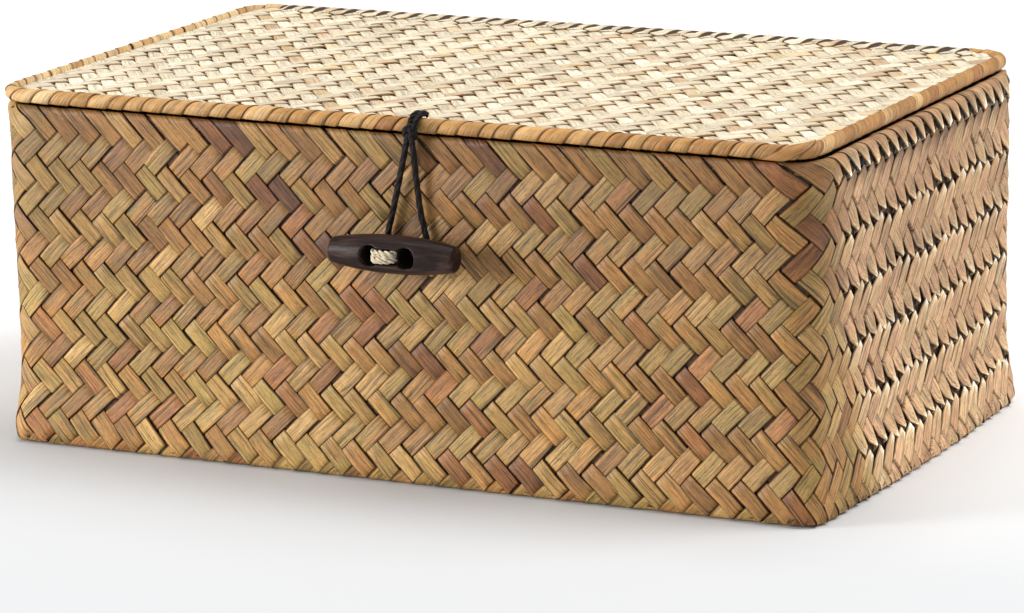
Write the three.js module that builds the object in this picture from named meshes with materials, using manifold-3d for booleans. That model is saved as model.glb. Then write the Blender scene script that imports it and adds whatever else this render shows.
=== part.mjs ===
// Hand-plaited storage box: a woven body, a hinged woven lid, a wooden toggle and a cord loop.
// Millimetres, +Z up. The front of the box faces -Y, and the origin is the middle of its underside.

import * as THREE from "three";
import { mergeVertices } from "three/addons/utils/BufferGeometryUtils.js";
import Module from "manifold-3d";

const wasm = await Module();
wasm.setup();

// Clearances
const GAP = 0.3; // between a piece and the neighbour that it seats in or on
const SEAM = 0.3; // between the ends of two lengths that meet
const CANE_GAP = 0.5; // round a cane inside its fold or binding

// Woven body
const BOX_LENGTH = 280; // along X, over the outside of the walls at their top
const BOX_DEPTH = 168; // along Y, over the outside of the walls at their top
const WALL_HEIGHT = 103; // from the ground to the rim fold
const WALL_THICKNESS = 3;
const BASE_THICKNESS = 3;
const CORNER_RADIUS_TOP = 12.5;
const CORNER_RADIUS_BASE = 7;
const WAIST_DEPTH = 1.6; // how far the walls draw in
const WAIST_HEIGHT = 24; // where they draw in most

// Folded rim of the body
const RIM_HEIGHT = 7;
const RIM_PROUD = 0.5; // how far the fold stands out from each face of the wall
const HOOP_DIAMETER = 2; // cane inside the fold

// Lid
const LID_THICKNESS = 2.6;
const LID_END_INSET = 0.2; // how far the lid stops short of the walls at each end
const LID_FRONT_PROUD = 0.8; // how far the front of the lid stands out over the wall
const LID_SHIFT = -0.8; // the hand-made lid sits a little to the left
const LID_CORNER_FRONT = 9.5; // to the centre line of the rim cane
const LID_CORNER_BACK = 10;
const TONGUE_THICKNESS = 1.2; // pressed edge of the lid inside the binding
const CANE_DIAMETER = 2;
const BINDING_DIAMETER = 4.8;
const BINDING_DIP = 0.25; // depth of the furrow between two wraps
const WRAP_PITCH = 6.8;
const BACK_RETURN = 3; // length of binding along the back edge, past each corner

// Woven hinge along the back
const FOLD_THICKNESS = 1.2;
const FOLD_DROP = 6; // how far the fold reaches down below the rim

// Toggle and its thong
const TOGGLE_X = 6.7; // the hand-made fastening sits a little to the right of the middle
const TOGGLE_LENGTH = 42;
const TOGGLE_DIAMETER = 11.8;
const TOGGLE_END_DIAMETER = 7.8;
const TOGGLE_CHAMFER = 0.6;
const TOGGLE_HEIGHT = 75; // axis above the ground
const TOGGLE_STANDOFF = 4.8; // between the bar and the wall
const SLOT_LENGTH = 18.8;
const SLOT_WIDTH = 6.8;
const SLOT_DEPTH = 3.6;
const HOLE_DIAMETER = 5;
const HOLE_SPACING = 11.4;
const THONG_DIAMETER = 3.4;
const SHANK_DIAMETER = 5.2;
const HUB_DIAMETER = 6.8;
const HUB_THICKNESS = 1.4;
const STOPPER_DIAMETER = 10;
const STOPPER_THICKNESS = 4.2;

// Loop
const LOOP_DIAMETER = 2.2;
const KNOT_X = 9.6;
const KNOT_SIZE = new THREE.Vector3(3.4, 2.4, 3);
const TAIL_RISE = 5.4;
const TAIL_LEAN = 4;
// Centre line of the loop from one end at the knot, behind the toggle, to the other end
const LOOP_POINTS = [
  [10.3, -87.2, 107],
  [10.4, -86.9, 103],
  [10.8, -86.3, 95.5],
  [11.6, -85.9, 87],
  [13, -85.6, 79.8],
  [13.8, -85.5, 75.3],
  [13.3, -85.5, 72.6],
  [11.7, -85.5, 70.2],
  [9.3, -85.5, 68.7],
  [6.7, -85.5, 68.2],
  [4.1, -85.5, 68.7],
  [1.7, -85.5, 70.2],
  [0.1, -85.5, 72.6],
  [-0.4, -85.5, 75.3],
  [0.3, -85.6, 79.8],
  [2.4, -85.9, 87],
  [4.7, -86.3, 95.5],
  [6.8, -86.9, 103],
  [7.8, -87.2, 107],
];

// Steps in curves
const CORNER_STEPS = 4; // in each half of a corner of the walls
const LID_CORNER_STEPS = 6;
const WALL_STEPS = 8;

// Heights and places that follow from the sizes above
const RIM_TOP = WALL_HEIGHT + RIM_HEIGHT;
const BINDING_RADIUS = BINDING_DIAMETER / 2;
const LID_LEVEL = RIM_TOP + GAP + BINDING_RADIUS;
const HINGE_Y = BOX_DEPTH / 2 - LID_THICKNESS / 2;
const LID_LEFT = LID_SHIFT - BOX_LENGTH / 2 + LID_END_INSET + BINDING_RADIUS;
const LID_RIGHT = LID_SHIFT + BOX_LENGTH / 2 - LID_END_INSET - BINDING_RADIUS;
const LID_FRONT = BINDING_RADIUS - LID_FRONT_PROUD - BOX_DEPTH / 2;
const FOLD_LEFT = LID_LEFT + LID_CORNER_BACK + BACK_RETURN + GAP;
const FOLD_RIGHT = LID_RIGHT - LID_CORNER_BACK - BACK_RETURN - GAP;
const TOGGLE_FACE = waist(TOGGLE_HEIGHT) - BOX_DEPTH / 2;
const TOGGLE_Y = TOGGLE_FACE - TOGGLE_STANDOFF - TOGGLE_DIAMETER / 2;

// How far the walls draw in at a height: most at the waist, not at all at the ground or the top.
function waist(z) {
  const share = z < WAIST_HEIGHT ? z / WAIST_HEIGHT : (WALL_HEIGHT - z) / (WALL_HEIGHT - WAIST_HEIGHT);
  return WAIST_DEPTH * Math.sin((share * Math.PI) / 2) ** 2;
}

function cornerRadius(z) {
  return THREE.MathUtils.lerp(CORNER_RADIUS_BASE, CORNER_RADIUS_TOP, z / WALL_HEIGHT);
}

// Plan of one side of the box from the middle of one corner to the middle of the next, at a height
// and so far in from the outside of the wall. Side 0 is the front, then right, back and left.
function sidePath(side, z, inset, seam) {
  const radius = cornerRadius(z) - inset;
  const x = BOX_LENGTH / 2 - waist(z) - inset - radius;
  const y = BOX_DEPTH / 2 - waist(z) - inset - radius;
  const corners = [[-x, -y], [x, -y], [x, y], [-x, y]];
  const [first, second] = [corners[side], corners[(side + 1) % 4]];
  const turn = (side * Math.PI) / 2;
  const trim = seam / 2 / radius;
  const path = new THREE.Path();
  path.absarc(...first, radius, turn + Math.PI * 1.25 + trim, turn + Math.PI * 1.5);
  path.absarc(...second, radius, turn + Math.PI * 1.5, turn + Math.PI * 1.75 - trim);
  return path;
}

// Points of a plan path with their outward normals: arcs in steps, straights by their ends.
// A straight too short to measure, where two curves meet, is passed over.
function stations(path, steps) {
  const found = [];
  for (const curve of path.curves.filter((c) => c.getLength() > 1e-6)) {
    const count = curve.isLineCurve ? 1 : steps;
    for (let i = found.length ? 1 : 0; i <= count; i++) {
      const point = curve.getPoint(i / count);
      const tangent = curve.getTangent(i / count);
      found.push({ point, normal: new THREE.Vector2(tangent.y, -tangent.x) });
    }
  }
  return found;
}

// Point of a section, given as outward and upward distances, at a station of a plan path.
function place(station, out, z) {
  return new THREE.Vector3(station.point.x + station.normal.x * out, station.point.y + station.normal.y * out, z);
}

// Closed solid through loops of points that follow one another. The flat section fills both ends,
// and a tunnel, if there is one, runs through with its own loops and section.
function skin(loops, section, tunnel) {
  const vertices = [];
  const faces = [];
  const add = (rings, inward) => {
    const start = vertices.length;
    const size = rings[0].length;
    rings.forEach((ring) => vertices.push(...ring));
    for (let i = 0; i + 1 < rings.length; i++) {
      for (let k = 0; k < size; k++) {
        const a = start + i * size + k;
        const b = start + i * size + ((k + 1) % size);
        const quad = inward ? [a, b, b + size, a + size] : [a, a + size, b + size, b];
        faces.push(quad[0], quad[1], quad[2], quad[0], quad[2], quad[3]);
      }
    }
    const last = start + (rings.length - 1) * size;
    return Array.from({ length: size }, (_, k) => [start + k, last + k]);
  };
  const rimOf = add(loops, false);
  const tunnelRim = tunnel ? add(tunnel.loops, true) : [];
  const flat = tunnel ? [...section, ...tunnel.section] : section;
  const ends = [...rimOf, ...tunnelRim];
  for (const face of THREE.ShapeUtils.triangulateShape(section, tunnel ? [tunnel.section] : [])) {
    const turned = THREE.ShapeUtils.area(face.map((k) => flat[k])) < 0;
    const [a, b, c] = turned ? [face[0], face[2], face[1]] : face;
    faces.push(ends[a][0], ends[b][0], ends[c][0]);
    faces.push(ends[a][1], ends[c][1], ends[b][1]);
  }
  return fromFaces(vertices, faces);
}

// Endless ring through loops of points, the last joined to the first.
function ring(loops) {
  const size = loops[0].length;
  const faces = [];
  loops.forEach((_, i) => {
    const next = (i + 1) % loops.length;
    for (let k = 0; k < size; k++) {
      const [a, b] = [i * size + k, i * size + ((k + 1) % size)];
      const [d, c] = [next * size + k, next * size + ((k + 1) % size)];
      faces.push(a, d, c, a, c, b);
    }
  });
  return fromFaces(loops.flat(), faces);
}

function fromFaces(vertices, faces) {
  const geometry = new THREE.BufferGeometry().setFromPoints(vertices);
  geometry.setIndex(faces);
  geometry.computeVertexNormals();
  return geometry;
}

function circle(radius, count) {
  return Array.from({ length: count }, (_, i) => {
    const angle = ((i + 0.5) * 2 * Math.PI) / count;
    return new THREE.Vector2(radius * Math.cos(angle), radius * Math.sin(angle));
  });
}

function arc(radius, from, to, count) {
  return Array.from({ length: count + 1 }, (_, i) => {
    const angle = THREE.MathUtils.lerp(from, to, i / count);
    return new THREE.Vector2(radius * Math.cos(angle), radius * Math.sin(angle));
  });
}

// Round cord along a smooth curve through points.
function cord(points, diameter, sides, steps) {
  const shape = new THREE.Shape(circle(diameter / 2, sides));
  const extrudePath = new THREE.CatmullRomCurve3(points);
  return new THREE.ExtrudeGeometry(shape, { extrudePath, steps, bevelEnabled: false });
}

function toSolid(geometry) {
  const bare = geometry.clone();
  bare.deleteAttribute("normal");
  bare.deleteAttribute("uv");
  const merged = mergeVertices(bare, 1e-4);
  const vertProperties = merged.attributes.position.array;
  const triVerts = new Uint32Array(merged.index.array);
  return new wasm.Manifold(new wasm.Mesh({ numProp: 3, vertProperties, triVerts }));
}

function fromSolid(solid) {
  const { numProp, vertProperties, triVerts } = solid.getMesh();
  const geometry = new THREE.BufferGeometry();
  geometry.setAttribute("position", new THREE.BufferAttribute(new Float32Array(vertProperties), numProp));
  geometry.setIndex(Array.from(triVerts));
  geometry.computeVertexNormals();
  return geometry;
}

function join(...geometries) {
  return fromSolid(geometries.map(toSolid).reduce((a, b) => a.add(b)));
}

function cut(geometry, ...cutters) {
  return fromSolid(cutters.map(toSolid).reduce((a, b) => a.subtract(b), toSolid(geometry)));
}

// Woven walls: each runs from the middle of one corner to the middle of the next.
function wall(side) {
  const levels = [0, BASE_THICKNESS];
  for (let i = 1; i <= WALL_STEPS; i++) {
    levels.push(BASE_THICKNESS + ((WALL_HEIGHT - BASE_THICKNESS) * i) / WALL_STEPS);
  }
  const loops = levels.reverse().map((z) => {
    const outer = stations(sidePath(side, z, 0, SEAM), CORNER_STEPS).map((s) => place(s, 0, z));
    const inner = stations(sidePath(side, z, WALL_THICKNESS, SEAM), CORNER_STEPS).map((s) => place(s, 0, z));
    return [...outer, ...inner.reverse()];
  });
  return skin(loops, loops[0].map((p) => new THREE.Vector2(p.x, p.y)));
}

function frontWall() {
  const hole = new THREE.CylinderGeometry(SHANK_DIAMETER / 2 + GAP, SHANK_DIAMETER / 2 + GAP, 4 * WALL_THICKNESS, 16);
  hole.translate(TOGGLE_X, TOGGLE_FACE + WALL_THICKNESS / 2, TOGGLE_HEIGHT);
  return cut(wall(0), hole);
}

// Base mat, held inside the foot of the walls.
function baseMat() {
  const loops = [BASE_THICKNESS, 0].map((z) =>
    [0, 1, 2, 3].flatMap((side) =>
      stations(sidePath(side, z, WALL_THICKNESS + GAP, SEAM), CORNER_STEPS).map((s) => place(s, 0, z)),
    ),
  );
  return skin(loops, loops[0].map((p) => new THREE.Vector2(p.x, p.y)));
}

// Rim fold: the strips turned down over the hoop, on top of a wall.
function rimFold(side) {
  const half = WALL_THICKNESS / 2 + RIM_PROUD;
  const section = [new THREE.Vector2(-half, 0), new THREE.Vector2(half, 0)];
  section.push(...arc(half, 0, Math.PI, 6).map((p) => p.add(new THREE.Vector2(0, RIM_HEIGHT - half))));
  const bore = circle(HOOP_DIAMETER / 2 + CANE_GAP, 8).map((p) => p.add(new THREE.Vector2(0, RIM_HEIGHT / 2)));
  const line = stations(sidePath(side, WALL_HEIGHT, WALL_THICKNESS / 2, SEAM), CORNER_STEPS);
  const sweep = (points) => line.map((s) => points.map((p) => place(s, p.x, WALL_HEIGHT + p.y)));
  return skin(sweep(section), section, { loops: sweep(bore), section: bore });
}

function rimHoop() {
  const line = [0, 1, 2, 3].flatMap((side) =>
    stations(sidePath(side, WALL_HEIGHT, WALL_THICKNESS / 2, SEAM), CORNER_STEPS),
  );
  const section = circle(HOOP_DIAMETER / 2, 8);
  return ring(line.map((s) => section.map((p) => place(s, p.x, WALL_HEIGHT + RIM_HEIGHT / 2 + p.y))));
}

// Centre line of the lid's rim: back-left corner, left, front, right, back-right corner.
// Each run starts where a front corner starts or ends.
function lidRun(run) {
  const path = new THREE.Path();
  const corner = (x, y, radius, quarter) => {
    path.absarc(x, y, radius, (quarter * Math.PI) / 2, ((quarter + 1) * Math.PI) / 2);
  };
  const back = HINGE_Y - LID_CORNER_BACK;
  const front = LID_FRONT + LID_CORNER_FRONT;
  if (run === "left") {
    path.moveTo(LID_LEFT + LID_CORNER_BACK + BACK_RETURN, HINGE_Y);
    path.lineTo(LID_LEFT + LID_CORNER_BACK, HINGE_Y);
    corner(LID_LEFT + LID_CORNER_BACK, back, LID_CORNER_BACK, 1);
    path.lineTo(LID_LEFT, front + SEAM);
  }
  if (run === "front") {
    corner(LID_LEFT + LID_CORNER_FRONT, front, LID_CORNER_FRONT, 2);
    corner(LID_RIGHT - LID_CORNER_FRONT, front, LID_CORNER_FRONT, 3);
  }
  if (run === "right") {
    path.moveTo(LID_RIGHT, front + SEAM);
    path.lineTo(LID_RIGHT, back);
    corner(LID_RIGHT - LID_CORNER_BACK, back, LID_CORNER_BACK, 0);
    path.lineTo(LID_RIGHT - LID_CORNER_BACK - BACK_RETURN, HINGE_Y);
  }
  return path;
}

function lidCane() {
  const line = ["left", "front", "right"].flatMap((run) => stations(lidRun(run), LID_CORNER_STEPS));
  const section = circle(CANE_DIAMETER / 2, 8);
  return skin(line.map((s) => section.map((p) => place(s, p.x, LID_LEVEL + p.y))), section);
}

// Binding: a strip wound round the cane and the pressed edge of the lid, open towards the lid.
function binding(run) {
  const mouth = TONGUE_THICKNESS / 2 + GAP;
  const bore = CANE_DIAMETER / 2 + CANE_GAP;
  const outerEnd = Math.PI - Math.asin(mouth / BINDING_RADIUS);
  const boreEnd = Math.PI - Math.asin(mouth / bore);
  const section = [...arc(BINDING_RADIUS, -outerEnd, outerEnd, 8), ...arc(bore, boreEnd, -boreEnd, 6)];
  const path = lidRun(run);
  const length = path.getLength();
  const count = 2 * Math.round(length / WRAP_PITCH);
  const loops = [];
  for (let i = 0; i <= count; i++) {
    const s = (i / count) * length;
    const twist = WRAP_PITCH * Math.min(1, i / 2, (count - i) / 2);
    const radius = BINDING_RADIUS - (i % 2 ? 0 : BINDING_DIP);
    loops.push(
      section.map((p) => {
        const share = (s + (twist * p.angle() - (p.y < 0 ? twist * 2 * Math.PI : 0)) / (2 * Math.PI)) / length;
        const tangent = path.getTangent(share);
        const station = { point: path.getPoint(share), normal: new THREE.Vector2(tangent.y, -tangent.x) };
        const grow = p.length() > bore + GAP / 2 ? radius / BINDING_RADIUS : 1;
        return place(station, p.x * grow, LID_LEVEL + p.y * grow);
      }),
    );
  }
  return skin(loops, section);
}

// Plan of the lid at a distance in from the centre line of its rim.
function lidPlan(inset) {
  const [front, back] = [LID_CORNER_FRONT - inset, LID_CORNER_BACK - inset];
  const shape = new THREE.Shape();
  const [left, right] = [LID_LEFT + inset, LID_RIGHT - inset];
  const [near, far] = [LID_FRONT + inset, HINGE_Y - inset];
  shape.absarc(left + front, near + front, front, Math.PI, Math.PI * 1.5);
  shape.absarc(right - front, near + front, front, Math.PI * 1.5, Math.PI * 2);
  shape.absarc(right - back, far - back, back, 0, Math.PI * 0.5);
  shape.absarc(left + back, far - back, back, Math.PI * 0.5, Math.PI);
  return shape;
}

function plate(shape, thickness) {
  const geometry = new THREE.ExtrudeGeometry(shape, {
    depth: thickness,
    bevelEnabled: false,
    curveSegments: LID_CORNER_STEPS,
  });
  return geometry.translate(0, 0, LID_LEVEL - thickness / 2);
}

// Lid mat: its pressed edge sits in the binding, and its back edge is rounded about the hinge line.
function lidMat() {
  const width = FOLD_RIGHT - FOLD_LEFT;
  const middle = (FOLD_LEFT + FOLD_RIGHT) / 2;
  const reach = 2 * BINDING_DIAMETER;
  const strip = new THREE.BoxGeometry(width, reach, LID_THICKNESS);
  strip.translate(middle, HINGE_Y - reach / 2, LID_LEVEL);
  const roll = new THREE.CylinderGeometry(LID_THICKNESS / 2, LID_THICKNESS / 2, width, 24);
  roll.rotateZ(Math.PI / 2).translate(middle, HINGE_Y, LID_LEVEL);
  const mat = plate(lidPlan(BINDING_RADIUS + GAP), LID_THICKNESS);
  const tongue = plate(lidPlan(CANE_DIAMETER / 2 + GAP), TONGUE_THICKNESS);
  return join(mat, tongue, strip, roll);
}

// Woven hinge: the strips of the lid run on down the outside of the back rim and wall.
function hingeFold() {
  const face = BOX_DEPTH / 2 + RIM_PROUD + GAP;
  const foot = WALL_HEIGHT - FOLD_DROP;
  const profile = new THREE.Shape();
  profile.moveTo(face, foot);
  profile.lineTo(face + FOLD_THICKNESS / 2, foot);
  profile.lineTo(face + FOLD_THICKNESS, foot + FOLD_THICKNESS);
  profile.lineTo(face + FOLD_THICKNESS, LID_LEVEL - FOLD_THICKNESS);
  profile.lineTo(face + FOLD_THICKNESS / 2, LID_LEVEL);
  profile.lineTo(face, LID_LEVEL);
  const geometry = new THREE.ExtrudeGeometry(profile, { depth: FOLD_RIGHT - FOLD_LEFT, bevelEnabled: false });
  return geometry.rotateX(Math.PI / 2).rotateZ(Math.PI / 2).translate(FOLD_LEFT, 0, 0);
}

// Toggle bar along X about its own middle, with the slot in front and the two thong holes.
function toggleBar() {
  const half = TOGGLE_LENGTH / 2;
  const [middle, end] = [TOGGLE_DIAMETER / 2, TOGGLE_END_DIAMETER / 2];
  const profile = [new THREE.Vector2(0, -half), new THREE.Vector2(end - TOGGLE_CHAMFER, -half)];
  for (let i = 0; i <= 12; i++) {
    const share = (i - 6) / 6;
    const radius = end + (middle - end) * (1 - Math.abs(share) ** 2.2);
    profile.push(new THREE.Vector2(radius, share * (half - TOGGLE_CHAMFER)));
  }
  profile.push(new THREE.Vector2(end - TOGGLE_CHAMFER, half), new THREE.Vector2(0, half));
  const bar = new THREE.LatheGeometry(profile, 28).rotateZ(Math.PI / 2);
  const slot = new THREE.Shape();
  const side = SLOT_LENGTH / 2 - SLOT_WIDTH / 2;
  slot.absarc(side, 0, SLOT_WIDTH / 2, -Math.PI / 2, Math.PI / 2);
  slot.absarc(-side, 0, SLOT_WIDTH / 2, Math.PI / 2, Math.PI * 1.5);
  const recess = new THREE.ExtrudeGeometry(slot, { depth: TOGGLE_DIAMETER, bevelEnabled: false, curveSegments: 8 });
  recess.rotateX(Math.PI / 2).translate(0, SLOT_DEPTH - middle, 0);
  const holes = [-1, 1].map((sign) => {
    const hole = new THREE.CylinderGeometry(HOLE_DIAMETER / 2, HOLE_DIAMETER / 2, 2 * TOGGLE_DIAMETER, 16);
    return hole.translate((sign * HOLE_SPACING) / 2, 0, 0);
  });
  return cut(bar, recess, ...holes);
}

// Thong: one cord from the hub at the wall, out through one hole, across the slot and back.
function toggleThong() {
  const radius = THONG_DIAMETER / 2;
  const side = HOLE_SPACING / 2;
  const front = SLOT_DEPTH - TOGGLE_DIAMETER / 2 - GAP - radius;
  const back = TOGGLE_DIAMETER / 2 + TOGGLE_STANDOFF - GAP - HUB_THICKNESS / 2;
  const hubSide = HUB_DIAMETER / 2 - radius;
  const leg = [
    [hubSide, back],
    [hubSide + 0.4, back - 1.3],
    [side - 0.6, TOGGLE_DIAMETER / 2 + 0.6],
    [side, TOGGLE_DIAMETER / 2 - 3],
    [side, 0],
    [side, front + radius + 0.6],
    [side - 0.7, front + 0.7],
    [side - radius - 0.8, front],
  ];
  const route = [...leg.map(([x, y]) => [-x, y]), ...leg.reverse()];
  const strand = cord(route.map(([x, y]) => new THREE.Vector3(x, y, 0)), THONG_DIAMETER, 10, 36);
  const hub = new THREE.CylinderGeometry(HUB_DIAMETER / 2, HUB_DIAMETER / 2, HUB_THICKNESS, 20);
  hub.translate(0, back, 0);
  return join(strand, hub);
}

// Twisted shank of the thong through the front wall, with its stopper knot inside.
function thongAnchor() {
  const start = TOGGLE_FACE - GAP / 2;
  const stop = TOGGLE_FACE + WALL_THICKNESS + GAP;
  const profile = [
    [0, start],
    [SHANK_DIAMETER / 2, start],
    [SHANK_DIAMETER / 2, stop],
    [STOPPER_DIAMETER / 2 - 1, stop],
    [STOPPER_DIAMETER / 2, stop + STOPPER_THICKNESS * 0.4],
    [STOPPER_DIAMETER / 2 - 1.4, stop + STOPPER_THICKNESS * 0.85],
    [0, stop + STOPPER_THICKNESS],
  ];
  const points = profile.map(([r, y]) => new THREE.Vector2(r, y));
  return new THREE.LatheGeometry(points, 20).translate(TOGGLE_X, 0, TOGGLE_HEIGHT);
}

// Knot of the loop on the front of the lid's rim: two turns over the binding, a lump and a tail.
function loopKnot() {
  const reach = BINDING_RADIUS + GAP + LOOP_DIAMETER / 2;
  const turn = (offset) => {
    const points = arc(reach, Math.PI * 0.72, -Math.PI * 0.12, 8).map(
      (p) => new THREE.Vector3(KNOT_X + offset, LID_FRONT - p.x, LID_LEVEL + p.y),
    );
    return cord(points, LOOP_DIAMETER, 8, 10);
  };
  const middle = new THREE.Vector3(KNOT_X, LID_FRONT - BINDING_DIAMETER, RIM_TOP + GAP);
  const lump = new THREE.SphereGeometry(1, 14, 10).rotateX(Math.PI / 2);
  lump.scale(KNOT_SIZE.x, KNOT_SIZE.y, KNOT_SIZE.z).translate(...middle);
  const tail = cord(
    [
      middle,
      middle.clone().add(new THREE.Vector3(TAIL_LEAN * 0.4, 0.2, TAIL_RISE * 0.5)),
      middle.clone().add(new THREE.Vector3(TAIL_LEAN, 0.4, TAIL_RISE)),
    ],
    LOOP_DIAMETER * 0.9,
    8,
    4,
  );
  return join(turn(-LOOP_DIAMETER * 0.48), turn(LOOP_DIAMETER * 0.48), lump, tail);
}

function loopCord() {
  return cord(LOOP_POINTS.map((p) => new THREE.Vector3(...p)), LOOP_DIAMETER, 8, 34);
}

const finishes = {
  wall: [0xb08a55, 0.8],
  sideWall: [0xbf9a68, 0.8],
  base: [0xab8653, 0.85],
  rim: [0xb98c55, 0.78],
  cane: [0xb59a6a, 0.7],
  lid: [0xdcc79c, 0.82],
  binding: [0xc4924f, 0.75],
  fold: [0xc9a874, 0.82],
  toggle: [0x33261f, 0.5],
  thong: [0xcdb998, 0.9],
  loop: [0x1d1917, 0.7],
};

function piece(name, geometry, finish) {
  const [color, roughness] = finishes[finish];
  const mesh = new THREE.Mesh(geometry, new THREE.MeshStandardMaterial({ color, roughness, metalness: 0 }));
  mesh.name = name;
  return mesh;
}

const body = new THREE.Group();
body.add(piece("base_mat", baseMat(), "base"));
body.add(piece("front_wall", frontWall(), "wall"));
body.add(piece("right_wall", wall(1), "sideWall"));
body.add(piece("back_wall", wall(2), "wall"));
body.add(piece("left_wall", wall(3), "sideWall"));
body.add(piece("rim_front", rimFold(0), "rim"));
body.add(piece("rim_right", rimFold(1), "rim"));
body.add(piece("rim_back", rimFold(2), "rim"));
body.add(piece("rim_left", rimFold(3), "rim"));
body.add(piece("rim_hoop", rimHoop(), "cane"));
body.add(piece("hinge_fold", hingeFold(), "fold"));
body.add(piece("thong_anchor", thongAnchor(), "thong"));

const lid = new THREE.Group();
lid.add(piece("lid_mat", lidMat(), "lid"));
lid.add(piece("lid_cane", lidCane(), "cane"));
lid.add(piece("binding_front", binding("front"), "binding"));
lid.add(piece("binding_left", binding("left"), "binding"));
lid.add(piece("binding_right", binding("right"), "binding"));
lid.add(piece("loop_knot", loopKnot(), "loop"));

const toggle = new THREE.Group();
toggle.position.set(TOGGLE_X, TOGGLE_Y, TOGGLE_HEIGHT);
toggle.add(piece("toggle_bar", toggleBar(), "toggle"));
toggle.add(piece("toggle_thong", toggleThong(), "thong"));

const box = new THREE.Group();
box.add(body, lid, toggle, piece("loop_cord", loopCord(), "loop"));

export default box;
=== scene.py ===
"""Looks of the plaited storage box: woven walls, base and lid made of separate strips, a bound lid rim,
a woven hinge, a turned toggle with its twine and a cord loop."""

import math

import bpy
import numpy as np
from mathutils import Matrix, Vector


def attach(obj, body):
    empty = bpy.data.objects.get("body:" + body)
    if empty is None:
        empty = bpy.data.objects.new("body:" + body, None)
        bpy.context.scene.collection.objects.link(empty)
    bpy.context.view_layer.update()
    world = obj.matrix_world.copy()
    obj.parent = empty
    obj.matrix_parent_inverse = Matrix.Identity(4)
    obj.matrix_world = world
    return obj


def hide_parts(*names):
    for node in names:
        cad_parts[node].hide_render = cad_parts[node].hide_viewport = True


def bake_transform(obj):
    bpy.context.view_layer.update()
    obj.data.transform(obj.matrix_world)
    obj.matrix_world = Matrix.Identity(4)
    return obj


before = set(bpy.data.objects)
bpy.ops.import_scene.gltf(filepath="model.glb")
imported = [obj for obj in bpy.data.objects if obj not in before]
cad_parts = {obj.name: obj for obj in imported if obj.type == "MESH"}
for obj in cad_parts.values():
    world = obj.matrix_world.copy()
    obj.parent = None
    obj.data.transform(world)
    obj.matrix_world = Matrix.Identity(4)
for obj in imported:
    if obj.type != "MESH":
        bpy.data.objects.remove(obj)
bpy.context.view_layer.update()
scene = bpy.context.scene
rng = np.random.default_rng(20)

# Sizes in millimetres, as in the CAD part: the walls
HALF_LENGTH, HALF_DEPTH = 140.0, 84.0
WALL_TOP = 103.0
WAIST_DEPTH, WAIST_HEIGHT = 1.3, 24.0
BASE_FLARE = 0.6
END_BOW, BOW_HEIGHT = 2.6, 14.0
RADIUS_BASE, RADIUS_TOP = 7.0, 12.5

# Lid, its bound rim and the fold of the hinge
LID_Z = 112.7
HINGE_Y = 82.7
LID_LEFT, LID_RIGHT, LID_FRONT = -138.2, 136.6, -82.4
LID_CORNER_FRONT, LID_CORNER_BACK, BACK_RETURN = 9.5, 10.0, 3.0
FOLD_LEFT, FOLD_RIGHT, FOLD_Y = -124.9, 123.3, 85.4
BINDING_R = 2.4
WRAP_PITCH = 6.8

# Toggle, in front of the wall, with its slot, groove and holes
WALL_FACE, TOGGLE_OUT = -83.5532, 10.7
TOGGLE_X, TOGGLE_Y, TOGGLE_Z = 6.7, WALL_FACE - TOGGLE_OUT, 75.0
TOGGLE_MIDDLE = (TOGGLE_X, TOGGLE_Y, TOGGLE_Z)
TOGGLE_HALF, TOGGLE_R, TOGGLE_END_R = 21.0, 5.9, 3.9
SLOT_HALF, SLOT_WIDTH, GROOVE_WIDTH = 9.4, 6.8, 5.4
GROOVE_FLOOR, HOLE_FLOOR = -2.6, 5.0

# Knot, and the loop from it round behind the toggle and back
KNOT_X = 9.6
LOOP_POINTS = [
    (10.3, -87.2, 107),
    (10.4, -86.9, 103),
    (10.8, -86.3, 95.5),
    (11.6, -85.9, 87),
    (13, -85.6, 79.8),
    (13.8, -85.5, 75.3),
    (13.3, -85.5, 72.6),
    (11.7, -85.5, 70.2),
    (9.3, -85.5, 68.7),
    (6.7, -85.5, 68.2),
    (4.1, -85.5, 68.7),
    (1.7, -85.5, 70.2),
    (0.1, -85.5, 72.6),
    (-0.4, -85.5, 75.3),
    (0.3, -85.6, 79.8),
    (2.4, -85.9, 87),
    (4.7, -86.3, 95.5),
    (6.8, -86.9, 103),
    (7.8, -87.2, 107),
]

# Plaiting: pitch of the walls' strands, step of the lid's strands in x and y from one crossing to the next,
# and rise, thickness and half width of the strips
WALL_PITCH, END_PITCH = 7.95, 7.5
LID_A, LID_B = 3.0, 4.1
WALL_LIFT, LID_LIFT = 0.36, 0.5
WALL_STRIP, LID_STRIP = 0.55, 0.65
WALL_HALF, LID_HALF, WRAP_HALF = 2.8, 2.4, 3.4

# Rows of the walls: length up to the end of the top floats, how far the rows stretch and rise on the ends,
# and the top teeth of the ends
TOP_FLOAT = 104.4
ROW_STRETCH, END_STRETCH, END_RAISE = 1.02, 1.08, 2.2
TOOTH_FOOT, TOOTH_TIP = 102, 109

# Course of the walls' plaiting: how far in from the outer face its middle surface lies, its turn at the foot
# from the base into the wall, and its turn over the cane hoop to the inside
WALL_IN, RIM_IN = 0.8, 0.4
BASE_REACH, FOOT_Z, FOOT_R = 8.0, 1.0, 1.1
RIM_FOOT, RIM_RISE = 99.0, 5.0
HOOP_Z, HOOP_R, HOOP_STRETCH = 107.9, 1.1, 1.6
INSIDE_DROP, INSIDE_STEPS = 6.0, 6

# Camera fitted to the photo, with angles in degrees and lengths in metres
LENS, SENSOR = 170.68, 36.0
AZIMUTH, ELEVATION, ROLL = 26.615, 13.22, -1.237
TARGET, DISTANCE = (-0.00123, 0.0, 0.03747), 1.55616


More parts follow.
